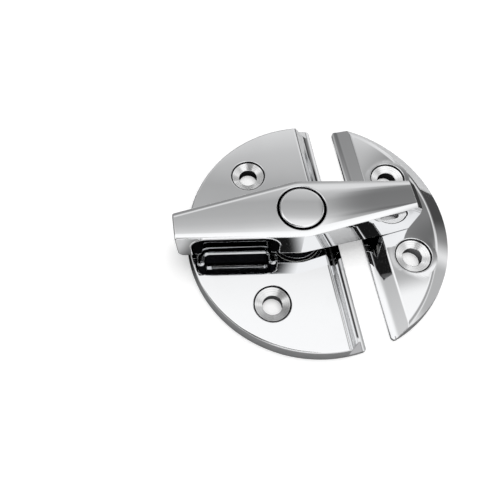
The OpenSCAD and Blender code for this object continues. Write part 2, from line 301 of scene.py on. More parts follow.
@dataclass(frozen=True)
class ChromeFinish:
    """Mirror chrome over a polished casting, with faint haze and swirls.

    Attributes:
        name: the material's name.
        tint: colour of the metal.
        gloss: roughness of the clean mirror.
        haze: roughness that the polishing haze adds.
        swirl: roughness that the polishing swirls add.
        ripple: height in metres of the casting's slow waviness.
        edge: radius in metres of the softened edges.
        crown: how far in metres the face drops from the middle line to the span beside it.
        span: that distance from the middle line in metres.
        painted_grey: part in millimetres painted grey as painted shade, if any.
        dull: line in millimetres painted near-black as painted shade and reflection in the crease, if any.
    """

    name: str
    tint: Colour = (0.85, 0.856, 0.866)
    gloss: float = 0.025
    haze: float = 0.05
    swirl: float = 0.015
    ripple: float = 0.00001
    edge: float = 0.00022
    crown: float = 0.0
    span: float = 0.007
    painted_grey: Patch | None = None
    dull: Patch | None = None

    def material(self) -> bpy.types.Material:
        """Builds the chrome material.

        Returns:
            The new material.
        """
        made, g, place = blank(self.name)
        at = g.xyz(place)
        cloud, swirl, wave = g.noise(place, 90.0, 3.0), g.noise(place, 2400.0, 2.0), g.noise(place, 55.0, 1.0)
        rough = self.gloss + self.haze * cloud.ramp(0.52, 0.8) + self.swirl * swirl.ramp(0.5, 0.8)
        colour = g.shaded(cloud.ramp(0.45, 0.75) * 0.35, self.tint, 0.93)
        # Painted shade: the patch is coloured grey.
        if self.painted_grey:
            colour = g.mix(self.painted_grey.cover(at, MM), colour, (0.4, 0.4, 0.41, 1.0))
        # Painted shade and reflection: the crease line is coloured near-black.
        if self.dull:
            colour = g.mix(self.dull.cover(at, MM) * (0.8 + 0.2 * cloud), colour, (0.02, 0.02, 0.021, 1.0))
        round_off = g.node("ShaderNodeBevel", {"samples": 6}, {"Radius": self.edge})
        aside = at[1] / self.span
        height = wave * self.ripple - aside * aside * self.crown
        relief = {"Strength": 1.0, "Distance": 1.0, "Height": height, "Normal": round_off}
        bump = g.node("ShaderNodeBump", inputs=relief)
        g.surface({"Base Color": colour, "Roughness": rough, "Metallic": 1.0, "Normal": bump})
        return made


@dataclass(frozen=True)
class TurnedSteelFinish:
    """Turned bright steel of the inner pieces.

    Attributes:
        name: the material's name.
        tint: colour of the metal.
        centre: point on the axis that the turning marks run round.
    """

    name: str
    tint: Colour = (0.58, 0.585, 0.6)
    centre: Point3 = (PIVOT * MM, 0.0, 0.0)

    def material(self) -> bpy.types.Material:
        """Builds the steel material.

        Returns:
            The new material.
        """
        made, g, place = blank(self.name)
        moved = g.node("ShaderNodeMapping", inputs={"Vector": place, "Location": tuple(-c for c in self.centre)})
        rings = g.node(
            "ShaderNodeTexWave",
            {"wave_type": "RINGS", "rings_direction": "Z"},
            {"Vector": moved, "Scale": 900.0, "Distortion": 1.5, "Detail": 2.0},
        )
        tone = g.shaded(g.noise(place, 700.0, 4.0), self.tint, 0.8)
        bump = g.node("ShaderNodeBump", inputs={"Strength": 0.2, "Distance": 0.00003, "Height": rings})
        g.surface({"Base Color": tone, "Roughness": 0.22 + 0.16 * rings, "Metallic": 1.0, "Normal": bump})
        return made


@dataclass(frozen=True)
class SunkFinish:
    """Plated countersinks that still show the rings of the cutter.

    Attributes:
        name: the material's name.
        holes: distance of the holes from the disc's centre, along X and along Y.
        tint: colour of the metal.
    """

    name: str
    holes: Point2
    tint: Colour = (0.93, 0.932, 0.935)

    def material(self) -> bpy.types.Material:
        """Builds the ringed metal.

        Returns:
            The new material.
        """
        made, g, place = blank(self.name)
        x, y, _ = g.xyz(place)
        along = x - self.holes[0] * MM
        aside = y.at_least(0.0 - y) - self.holes[1] * MM
        reach = g.node("ShaderNodeMath", {"operation": "SQRT"}, {0: along * along + aside * aside})
        scratch = g.node(
            "ShaderNodeTexNoise",
            {"noise_dimensions": "1D"},
            {"W": reach, "Scale": 4200.0, "Detail": 3.0},
        )
        bloom = g.noise(place, 700.0, 3.0)
        tone = g.shaded(scratch.ramp(0.3, 0.8), self.tint, 0.82)
        bump = g.node("ShaderNodeBump", inputs={"Strength": 0.2, "Distance": 0.00002, "Height": scratch})
        g.surface({"Base Color": tone, "Roughness": 0.16 + 0.08 * bloom, "Metallic": 0.7, "Normal": bump})
        return made


@dataclass(frozen=True)
class CastFinish:
    """Dull metal as it was cast or bored; with a near-black tint it gives painted shade inside the bar and on the
    countersinks' lips.

    Attributes:
        name: the material's name.
        tint: colour of the metal.
        dull: mean roughness.
        grain: size of the grain, as a noise scale.
        sheen: grey of the reflections at a low angle.
    """

    name: str
    tint: Colour
    dull: float = 0.5
    grain: float = 1500.0
    sheen: float = 0.25

    def material(self) -> bpy.types.Material:
        """Builds the dull metal.

        Returns:
            The new material.
        """
        made, g, place = blank(self.name)
        grain = g.noise(place, self.grain, 3.0)
        bump = g.node("ShaderNodeBump", inputs={"Strength": 0.4, "Distance": 0.00006, "Height": grain})
        g.surface(
            {
                "Base Color": g.shaded(grain, self.tint, 0.6),
                "Roughness": self.dull - 0.1 + 0.2 * grain,
                "Metallic": 1.0,
                "Specular Tint": (self.sheen, self.sheen, self.sheen, 1.0),
                "Normal": bump,
            }
        )
        return made


@dataclass(frozen=True)
class NylonFinish:
    """Natural nylon of the thrust washer.

    Attributes:
        name: the material's name.
        tint: colour of the nylon.
    """

    name: str
    tint: Colour = (0.78, 0.77, 0.72)

    def material(self) -> bpy.types.Material:
        """Builds the nylon material.

        Returns:
            The new material.
        """
        made, g, place = blank(self.name)
        mottle = g.noise(place, 400.0, 4.0)
        bump = g.node("ShaderNodeBump", inputs={"Strength": 0.15, "Distance": 0.00004, "Height": mottle})
        tone = g.shaded(mottle, self.tint, 0.86)
        g.surface({"Base Color": tone, "Roughness": 0.45 + 0.15 * mottle, "Normal": bump})
        return made


class Bench:
    """Mesh tools: lathe, saw and file."""

    @staticmethod
    def link(name: str, mesh: bpy.types.Mesh) -> bpy.types.Object:
        """Puts a mesh into the scene as an object.

        Args:
            name: the object's name.
            mesh: its mesh.

        Returns:
            The new object.
        """
        made = bpy.data.objects.new(name, mesh)
        bpy.context.scene.collection.objects.link(made)
        return made

    @staticmethod
    def from_bmesh(name: str, bm: bmesh.types.BMesh) -> bpy.types.Object:
        """Turns a bmesh into an object with outward normals.

        Args:
            name: the object's name.
            bm: the bmesh, which is freed.

        Returns:
            The new object.
        """
        bmesh.ops.recalc_face_normals(bm, faces=bm.faces)
        mesh = bpy.data.meshes.new(name)
        bm.to_mesh(mesh)
        bm.free()
        return Bench.link(name, mesh)

    @staticmethod
    def lathe(
        name: str, profile: Sequence[Point2], centre: Point2 = (0.0, 0.0), steps: int = 256
    ) -> bpy.types.Object:
        """Revolves a closed profile round an upright axis.

        Args:
            name: the object's name.
            profile: radius and height of each point in millimetres; the first and last lie on the axis.
            centre: place of the axis in millimetres.
            steps: segments of the full turn.

        Returns:
            The new solid.
        """
        bm = bmesh.new()
        rows: list[list[bmesh.types.BMVert]] = []
        for radius, height in profile:
            if radius < 1e-6:
                rows.append([bm.verts.new((centre[0] * MM, centre[1] * MM, height * MM))])
                continue
            row = []
            for k in range(steps):
                turn = 2 * math.pi * k / steps
                x = centre[0] + radius * math.cos(turn)
                y = centre[1] + radius * math.sin(turn)
                row.append(bm.verts.new((x * MM, y * MM, height * MM)))
            rows.append(row)
        for low, high in zip(rows, rows[1:]):
            for k in range(steps):
                n = (k + 1) % steps
                ring = [low[k % len(low)], low[n % len(low)], high[n % len(high)], high[k % len(high)]]
                corners = list(dict.fromkeys(ring))
                if len(corners) > 2:
                    bm.faces.new(corners)
        return Bench.from_bmesh(name, bm)

    @staticmethod
    def loft(name: str, sections: Sequence[Sequence[Point3]]) -> bpy.types.Object:
        """Joins closed outlines of the same count into a capped solid.

        Args:
            name: the object's name.
            sections: the outlines in millimetres, from one end to the other.

        Returns:
            The new solid.
        """
        bm = bmesh.new()
        rings = [[bm.verts.new(tuple(c * MM for c in point)) for point in section] for section in sections]
        bm.faces.new(rings[0])
        bm.faces.new(rings[-1])
        for low, high in zip(rings, rings[1:]):
            for k in range(len(low)):
                n = (k + 1) % len(low)
                bm.faces.new([low[k], low[n], high[n], high[k]])
        return Bench.from_bmesh(name, bm)

    @staticmethod
    def prism(name: str, outline: Sequence[Point2], place: Place, low: float, high: float) -> bpy.types.Object:
        """Extrudes an outline.

        Args:
            name: the object's name.
            outline: points of the outline in millimetres.
            place: turns outline and height coordinates into a point in millimetres.
            low: start of the extrusion.
            high: end of the extrusion.

        Returns:
            The new solid.
        """
        return Bench.stack(name, [(outline, low), (outline, high)], place)

    @staticmethod
    def stack(name: str, layers: Iterable[tuple[Sequence[Point2], float]], place: Place) -> bpy.types.Object:
        """Joins outlines at their levels into a solid.

        Args:
            name: the object's name.
            layers: the outlines in millimetres, each with its level.
            place: turns outline and level into a point in millimetres.

        Returns:
            The new solid.
        """
        return Bench.loft(name, [[place(u, v, level) for u, v in outline] for outline, level in layers])

    @staticmethod
    def skin(name: str, points: Iterable[Point3]) -> bpy.types.Object:
        """Wraps points in their convex hull.

        Args:
            name: the object's name.
            points: points in millimetres.

        Returns:
            The new solid.
        """
        bm = bmesh.new()
        for point in points:
            bm.verts.new(tuple(c * MM for c in point))
        bmesh.ops.remove_doubles(bm, verts=bm.verts, dist=1e-7)
        hull = bmesh.ops.convex_hull(bm, input=bm.verts)
        waste = {e for e in hull["geom_interior"] + hull["geom_unused"] if isinstance(e, bmesh.types.BMVert)}
        bmesh.ops.delete(bm, geom=list(waste), context="VERTS")
        bmesh.ops.dissolve_limit(bm, angle_limit=math.radians(0.05), verts=bm.verts, edges=bm.edges)
        return Bench.from_bmesh(name, bm)

    @staticmethod
    def work(
        target: bpy.types.Object, tools: Sequence[bpy.types.Object], operation: str = "DIFFERENCE"
    ) -> bpy.types.Object:
        """Cuts solids from a solid, or joins them to it.

        Args:
            target: the solid that is changed.
            tools: the solids that are used up.
            operation: DIFFERENCE, UNION or INTERSECT.

        Returns:
            The changed target.
        """
        for tool in tools:
            step = target.modifiers.new("work", "BOOLEAN")
            step.operation = operation
            step.solver = "EXACT"
            step.material_mode = "TRANSFER"
            step.object = tool
        bpy.context.view_layer.update()
        graph = bpy.context.evaluated_depsgraph_get()
        mesh = bpy.data.meshes.new_from_object(target.evaluated_get(graph))
        target.modifiers.clear()
        old = target.data
        target.data = mesh
        bpy.data.meshes.remove(old)
        for tool in tools:
            bpy.data.meshes.remove(tool.data)
        return target

    @staticmethod
    def settle(target: bpy.types.Object, sharp: float = 24.0) -> None:
        """Smooths curved faces, keeps flats flat and marks real edges.

        Args:
            target: the finished solid.
            sharp: angle in degrees from which an edge stays sharp.
        """
        bm = bmesh.new()
        bm.from_mesh(target.data)
        bmesh.ops.remove_doubles(bm, verts=bm.verts, dist=2e-7)
        bmesh.ops.dissolve_degenerate(bm, edges=bm.edges, dist=1e-7)
        for face in bm.faces:
            face.smooth = True
        for edge in bm.edges:
            edge.smooth = len(edge.link_faces) == 2 and edge.calc_face_angle(0.0) < math.radians(sharp)
        bm.to_mesh(target.data)
        bm.free()
        even = target.modifiers.new("even", "WEIGHTED_NORMAL")
        even.mode = "FACE_AREA"
        even.weight = 100
        even.keep_sharp = True


def arc(centre: Point2, radius: float, start: float, end: float, steps: int) -> list[Point2]:
    """Points along an arc.

    Args:
        centre: centre of the arc.
        radius: its radius.
        start: first angle in degrees.
        end: last angle in degrees.
        steps: number of steps.

    Returns:
        The points, both ends included.
    """
    turns = [math.radians(start + (end - start) * k / steps) for k in range(steps + 1)]
    return [(centre[0] + radius * math.cos(t), centre[1] + radius * math.sin(t)) for t in turns]


def quarter(steps: int) -> list[float]:
    """Angles in radians over a quarter turn, both ends included."""
    return [math.pi / 2 * k / steps for k in range(steps + 1)]


def upright(u: float, v: float, level: float) -> Point3:
    """Places an outline in plan and extrudes it upwards."""
    return (u, v, level)


def across(u: float, v: float, level: float) -> Point3:
    """Places an outline in the XZ plane and extrudes it along Y."""
    return (u, level, v)


def slot_side(edge: float, land: float, ledge: Point2, crease: Point2, hollow: float, soft: float) -> list[Point2]:
    """Outline of the solid that cuts a plate's slot side: land, ledge, hollow foot and slope.

    Args:
        edge: place of the slot side.
        land: height of its upright land.
        ledge: place and height where the ledge would meet the slope.
        crease: place and height of the slope's upper end.
        hollow: radius of the hollow between ledge and slope.
        soft: radius of the rounding at the slope's upper end.

    Returns:
        The outline in the XZ plane, with the cut-off side closed far away.
    """
    way = math.copysign(1.0, edge - crease[0])
    slot, low, high = way * edge, way * ledge[0], way * crease[0]
    flat = math.atan2(ledge[1] - land, slot - low)
    steep = math.atan2(crease[1] - ledge[1], low - high)
    lead = hollow * math.tan((steep - flat) / 2)
    foot = (low + lead * math.cos(flat), ledge[1] - lead * math.sin(flat))
    centre = (foot[0] + hollow * math.sin(flat), foot[1] + hollow * math.cos(flat))
    brow = (high - soft * math.tan(steep / 2), crease[1] - soft)
    over = crease[1] + PAST
    outline = [(slot, -PAST), (slot, land)]
    outline += arc(centre, hollow, 270 - math.degrees(flat), 270 - math.degrees(steep), 20)
    outline += arc(brow, soft, 90 - math.degrees(steep), 90 - math.degrees(0.03), 12)
    outline += [(high - 1.5, over), (FAR, over), (FAR, -PAST)]
    return [(way * u, v) for u, v in outline]


def slot_corners(edge: float, way: float, centre: float, radius: float, r: float) -> list[bpy.types.Object]:
    """Builds the two cutters that round a plate's corners at the slot.

    Args:
        edge: place of the slot side.
        way: 1 where the slot lies beyond the plate, -1 where it lies before it.
        centre: place of the disc's centre on X.
        radius: radius of the disc.
        r: radius of the corners.

    Returns:
        The cutters.
    """
    cx = edge - way * r
    cy = math.sqrt((radius - r) ** 2 - (cx - centre) ** 2)
    turn = math.degrees(math.atan2(cy, way * (cx - centre)))
    made = []
    out = r + 2 * PAST
    plan = arc((0.0, 0.0), r, 0, turn, 16) + arc((0.0, 0.0), out, turn, turn, 1)[:1] + [(out, 2 * out), (out, 0.0)]
    for side in (1.0, -1.0):
        corner = [(cx + way * u, side * (cy + v)) for u, v in plan]
        made.append(Bench.prism("corner", corner, upright, -PAST, ABOVE))
    return made


def dress(target: bpy.types.Object, material: bpy.types.Material) -> None:
    """Gives an object one material.

    Args:
        target: the object.
        material: its material.
    """
    target.data.materials.clear()
    target.data.materials.append(material)


@dataclass(frozen=True)
class ScrewHole:
    """A countersunk screw hole.

    Attributes:
        x: place across the slot in millimetres.
        y: place along the slot in millimetres.
        hole: diameter of the through hole.
        sink: diameter of the countersink at the face.
        deep: depth of the countersink.
        step: depth of the steep step at its upper edge.
        soft: rounding of that edge.
        nick: width of the broken edge between bore and cone.
    """

    x: float
    y: float
    hole: float = 4.7
    sink: float = 9.0
    deep: float = 1.1
    step: float = 0.4
    soft: float = 0.2
    nick: float = 0.12

    def cutter(self, face: float, finishes: "PlateFinishes") -> bpy.types.Object:
        """Builds the solid that cuts the hole, dressed for bore, cone and the lip's painted shade.

        Args:
            face: height of the plate's face.
            finishes: materials of the plate.

        Returns:
            The cutter.
        """
        r, s = self.hole / 2, self.sink / 2
        foot = face - self.deep
        profile = [(0.0, -2 * PAST), (r, -2 * PAST), (r, foot - 0.08), (r + self.nick, foot + 0.03)]
        lead = self.soft * math.tan(math.radians(22.5))
        profile += [(s - self.step, face - self.step)]
        profile += arc((s + lead, face - self.soft), self.soft, 135, 92, 8)
        profile += [(s + lead, face + 2 * PAST), (0.0, face + 2 * PAST)]
        made = Bench.lathe("hole", profile, (self.x, self.y), 192)
        for material in (finishes.chrome, finishes.bored, finishes.painted_lip_shade, finishes.sunk):
            made.data.materials.append(material)
        for part in made.data.polygons:
            spot = part.center / MM
            reach = math.hypot(spot.x - self.x, spot.y - self.y)
            if reach < r + 0.01:
                part.material_index = 1
            elif reach < s - self.step - 0.01:
                part.material_index = 3
            # The steep step at the lip is coloured near-black as painted shade.
            elif reach < s - lead and spot.z < face:
                part.material_index = 2
        return made


@dataclass(frozen=True)
class PlateFinishes:
    """Materials of a plate.

    Attributes:
        chrome: the mirror faces.
        bored: the drilled bores.
        painted_lip_shade: near-black painted shade on the steep step at each countersink's upper edge.
        sunk: the turned cones of the countersinks.
    """

    chrome: bpy.types.Material
    bored: bpy.types.Material
    painted_lip_shade: bpy.types.Material
    sunk: bpy.types.Material


@dataclass
class BasePlate:
    """The larger part of the split disc.

    Attributes:
        radius: radius of the disc at its foot in millimetres.
        thick: thickness of the plate.
        draft: how far the rim leans in.
        rim: rounding of the rim's top edge.
        slot: foot of the slot side.
        slope: width of the slope beside the slot.
        land: upright land at the slot's edge.
        ledge: width of the ledge at the foot of the slope.
        rise: rise of the ledge.
        hollow: radius of the hollow between ledge and slope.
        soft: rounding at the slope's upper end.
        corner: rounding of the corners at the slot.
        end: how far the slope stops before the rim.
        holes: the two screw holes.
        pivot: place of the pivot on X.
        bore: radius of the bore for the post.
        seat: radius of the seat for the post's flange.
        seat_deep: depth of that seat.
    """

    radius: float = DISC_RADIUS
    thick: float = PLATE_THICK
    draft: float = 0.55
    rim: float = 0.45
    slot: float = 5.8
    slope: float = 4.2
    land: float = SLOT_LAND
    ledge: float = 1.45
    rise: float = LEDGE_RISE
    hollow: float = 5.0
    soft: float = 1.2
    corner: float = 0.9
    end: float = 2.1
    holes: tuple[ScrewHole, ...] = (ScrewHole(-13.55, 17.75), ScrewHole(-13.55, -17.75))
    pivot: float = PIVOT
    bore: float = 4.06
    seat: float = 5.15
    seat_deep: float = 1.4

    def build(self, finishes: PlateFinishes) -> bpy.types.Object:
        """Builds and dresses the plate.

        Args:
            finishes: its materials.

        Returns:
            The finished piece.
        """
        top = self.radius - self.draft
        profile = [(0.0, 0.0), (self.radius - FOOT_EDGE, 0.0), (self.radius, FOOT_EDGE)]
        profile += arc((top - self.rim, self.thick - self.rim), self.rim, 5, 90, 6)
        profile += [(0.0, self.thick)]
        plate = Bench.lathe("base_plate_chrome", profile, steps=384)
        dress(plate, finishes.chrome)
        crease = self.slot - self.slope
        ledge = (self.slot - self.ledge, self.land + self.rise)
        side = slot_side(self.slot, self.land, ledge, (crease, self.thick), self.hollow, self.soft)
        tools = [Bench.prism("side", side, across, -FAR, FAR)]
        tools += slot_corners(self.slot, 1.0, 0.0, self.radius, self.corner)
        reach = math.sqrt(self.radius**2 - self.slot**2)
        for way in (1.0, -1.0):
            plan = [(crease, way * (reach + 0.2)), (ledge[0], way * (reach - self.end))]
            plan += [(self.slot + PAST, way * (reach - self.end)), (self.slot + PAST, way * (reach + 3 * PAST))]
            plan += [(crease, way * (reach + 3 * PAST))]
            tools.append(Bench.prism("end", plan, upright, ledge[1], self.thick + PAST))
        for tool in tools:
            dress(tool, finishes.chrome)
        tools += [hole.cutter(self.thick, finishes) for hole in self.holes]
        bore = [(0.0, -PAST), (self.seat, -PAST), (self.seat, self.seat_deep)]
        bore += [(self.bore, self.seat_deep), (self.bore, ABOVE), (0.0, ABOVE)]
        tools.append(Bench.lathe("bore", bore, (self.pivot, 0.0), 96))
        Bench.work(plate, tools)
        Bench.settle(plate)
        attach(plate, Body.BASE.value)
        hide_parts("base_plate")
        return plate


@dataclass
class KeeperPlate:
    """The smaller part of the split disc, which the bar's foot bears on.

    Attributes:
        radius: radius of the disc at its foot in millimetres.
        thick: thickness at the flat.
        shift: how far it stands out from the true circle.
        slot: foot of the slot side.
        slope: width of the slope beside the slot.
        land: upright land at the slot's edge.
        ledge: width of the ledge at the foot of the slope.
        rim: height of the outer rim.
        lean: how far the rim leans in.
        bevel: width of the bevel between rim and flat.
        back: how far the bevel's own centre lies behind the keeper's.
        blend: rounding between bevel and flat.
        pad: radius of the flat pads round the holes.
        rise: height of the pads.
        shoulder: width of the pads' soft edge.
        hollow: radius of the hollow between ledge and slope.
        soft: rounding at the slope's upper end.
        corner: rounding of the corners at the slot.
        holes: the two screw holes.
    """

    radius: float = DISC_RADIUS
    thick: float = PLATE_THICK
    shift: float = 2.2
    slot: float = 12.2
    slope: float = 3.9
    land: float = SLOT_LAND
    ledge: float = 1.1
    rim: float = 1.5
    lean: float = 0.275
    bevel: float = 3.9
    back: float = 6.0
    blend: float = 2.5
    pad: float = 5.7
    rise: float = 0.03
    shoulder: float = 1.0
    hollow: float = 4.4
    soft: float = 0.7
    corner: float = 0.8
    holes: tuple[ScrewHole, ...] = (ScrewHole(22.25, 11.1), ScrewHole(22.25, -11.1))

    def build(self, finishes: PlateFinishes) -> bpy.types.Object:
        """Builds and dresses the keeper.

        Args:
            finishes: its materials.

        Returns:
            The finished piece.
        """
        over = self.thick + PAST
        profile = [(0.0, 0.0), (self.radius - FOOT_EDGE, 0.0), (self.radius, FOOT_EDGE)]
        profile += [(self.radius - self.lean * over / self.rim, over), (0.0, over)]
        plate = Bench.lathe("keeper_plate_chrome", profile, (self.shift, 0.0), 384)
        dress(plate, finishes.chrome)
        flat = self.radius - self.lean - self.bevel + self.back
        tilt = math.atan2(self.thick - self.rim, self.bevel)
        lead = self.blend * math.tan(tilt / 2)
        profile = [(0.0, -PAST), (flat + over / math.tan(tilt), -PAST)]
        profile += arc((flat - lead, self.thick - self.blend), self.blend, 90 - math.degrees(tilt), 90, 12)
        profile += [(0.0, self.thick)]
        dome = Bench.lathe("dome", profile, (self.shift - self.back, 0.0), 512)
        dress(dome, finishes.chrome)
        Bench.work(plate, [dome], "INTERSECT")
        for hole in self.holes:
            face = self.thick + self.rise
            root = self.thick - PAST
            disc = [(0.0, root), (self.pad, root), (self.pad, self.thick - 0.01)]
            disc += [(self.pad - self.shoulder, face), (0.0, face)]
            Bench.work(plate, [Bench.lathe("pad", disc, (hole.x, hole.y), 160)], "UNION")
        crease = self.slot + self.slope
        ledge = (self.slot + self.ledge, self.land + LEDGE_RISE)
        side = slot_side(self.slot, self.land, ledge, (crease, self.thick), self.hollow, self.soft)
        tools = [Bench.prism("side", side, across, -FAR, FAR)]
        tools += slot_corners(self.slot, -1.0, self.shift, self.radius, self.corner)
        for tool in tools:
            dress(tool, finishes.chrome)
        tools += [hole.cutter(self.thick + self.rise, finishes) for hole in self.holes]
        Bench.work(plate, tools)
        Bench.settle(plate, 12.0)
        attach(plate, Body.BASE.value)
        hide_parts("keeper_plate")
        return plate


@dataclass(frozen=True)
class FingerGrip:
    """The pocket in the front wall of the handle arm, with a rim outside and a lip inside.

    Attributes:
        inner: distance from the pivot to its inner end in millimetres.
        length: length of the opening.
        depth: depth of the pocket.
        lip: thickness of the lip round the pocket.
        side: distance from the opening's outer end to the lip.
        reach: how far the lip's ends stand out of the wall.
        lip_soft: rounding of the lip's lower edges.
        lip_bend: inner rounding of the lip's corners.
        corner: rounding of the opening's upper corners.
        roof: height of the wall left above the opening.
        rim_wide: width of the raised rim.
        rim_high: height of the raised rim above the wall.
        rim_root: how deep the rim is rooted in the wall.
        sill: height at which the opening's outline ends, below the bar's underside.
        fit: room between the lip and the opening's edge.
    """

    inner: float = 6.1
    length: float = 20.3
    depth: float = 2.7
    lip: float = 2.1
    side: float = 0.25
    reach: float = 0.3
    lip_soft: float = 0.6
    lip_bend: float = 1.0
    corner: float = 3.9
    roof: float = 0.25
    rim_wide: float = 0.3
    rim_high: float = 0.18
    rim_root: float = 0.8
    sill: float = 4.5
    fit: float = 0.12

    def arch(self, top: float, grow: float) -> list[Point2]:
        """Outline of the opening in the wall.

        Args:
            top: height of the opening.
            grow: how far the outline is larger than the opening.

        Returns:
            The outline, X along the wall and Y up.
        """
        left, right, r = -self.inner - self.length, -self.inner, self.corner
        outline = [(left - grow, self.sill), (right + grow, self.sill)]
        outline += arc((right - r, top - r), r + grow, 0, 90, 20)
        outline += arc((left + r, top - r), r + grow, 90, 180, 20)
        return outline

    def rim(self, top: float, place: Place) -> bpy.types.Object:
        """Builds the raised rim, still without its opening.

        Args:
            top: height of the opening.
            place: turns wall coordinates into a point.

        Returns:
            The new solid.
        """
        steps = [(self.rim_root, self.rim_wide)]
        soft = self.rim_wide / 2
        steps += [(soft * (1 - math.sin(t)) - self.rim_high, self.rim_wide - soft * (1 - math.cos(t)))
                  for t in quarter(6)]
        return Bench.stack("rim", [(self.arch(top, grow), level) for level, grow in steps], place)

    def opening(self, top: float, deep: float, place: Place) -> bpy.types.Object:
        """Builds the cutter of the opening, flared at the rim.

        Args:
            top: height of the opening.
            deep: how far it runs into the bar.
            place: turns wall coordinates into a point.

        Returns:
            The cutter.
        """
        soft = self.rim_wide / 2
        steps = [(-4 * PAST, soft)]
        steps += [(soft * (1 - math.cos(t)) - self.rim_high, soft * (1 - math.sin(t)))
                  for t in quarter(6)]
        steps += [(deep, 0.0)]
        return Bench.stack("opening", [(self.arch(top, grow), level) for level, grow in steps], place)

    def room(self, top: float, place: Place) -> bpy.types.Object:
        """Builds the space that the lip may fill: the bar's inside and the opening.

        Args:
            top: height of the opening.
            place: turns wall coordinates into a point.

        Returns:
            The new solid.
        """
        front = Bench.prism("room", self.arch(top, -self.fit), place, -3 * PAST, 0.6)
        inside = [(-40.0, -PAST), (0.0, -PAST), (0.0, 30.0), (-40.0, 30.0)]
        return Bench.work(front, [Bench.prism("inside", inside, place, 0.2, 20.0)], "UNION")

    def _ribbon(self, wide: float) -> list[Point2]:
        """Outline of the U-shaped lip with round ends.

        Args:
            wide: half its width.

        Returns:
            The outline in plan, X along the wall and Y into the bar.
        """
        half, bend = self.lip / 2, self.lip_bend + self.lip / 2
        left, right = -self.inner - self.length + self.side + half, -self.inner - half
        back = self.depth + half
        front = half - self.reach
        outline = arc((left, front), wide, 180, 360, 16)
        outline += arc((left + bend, back - bend), bend - wide, 180, 90, 12)
        outline += arc((right - bend, back - bend), bend - wide, 90, 0, 12)
        outline += arc((right, front), wide, 180, 360, 16)
        outline += arc((right - bend, back - bend), bend + wide, 0, 90, 12)
        outline += arc((left + bend, back - bend), bend + wide, 90, 180, 12)
        return outline

    def ribbon(self, foot: float, top: float, place: Place) -> bpy.types.Object:
        """Builds the lip with rounded lower edges.

        Args:
            foot: height of its lower edge.
            top: height of its upper end.
            place: turns wall coordinates into a point.

        Returns:
            The new solid.
        """
        half, soft = self.lip / 2, self.lip_soft
        steps = [(foot + soft * (1 - math.cos(t)), half - soft * (1 - math.sin(t)))
                 for t in quarter(7)]
        steps += [(top, half)]
        return Bench.stack("ribbon", [(self._ribbon(wide), level) for level, wide in steps], place)


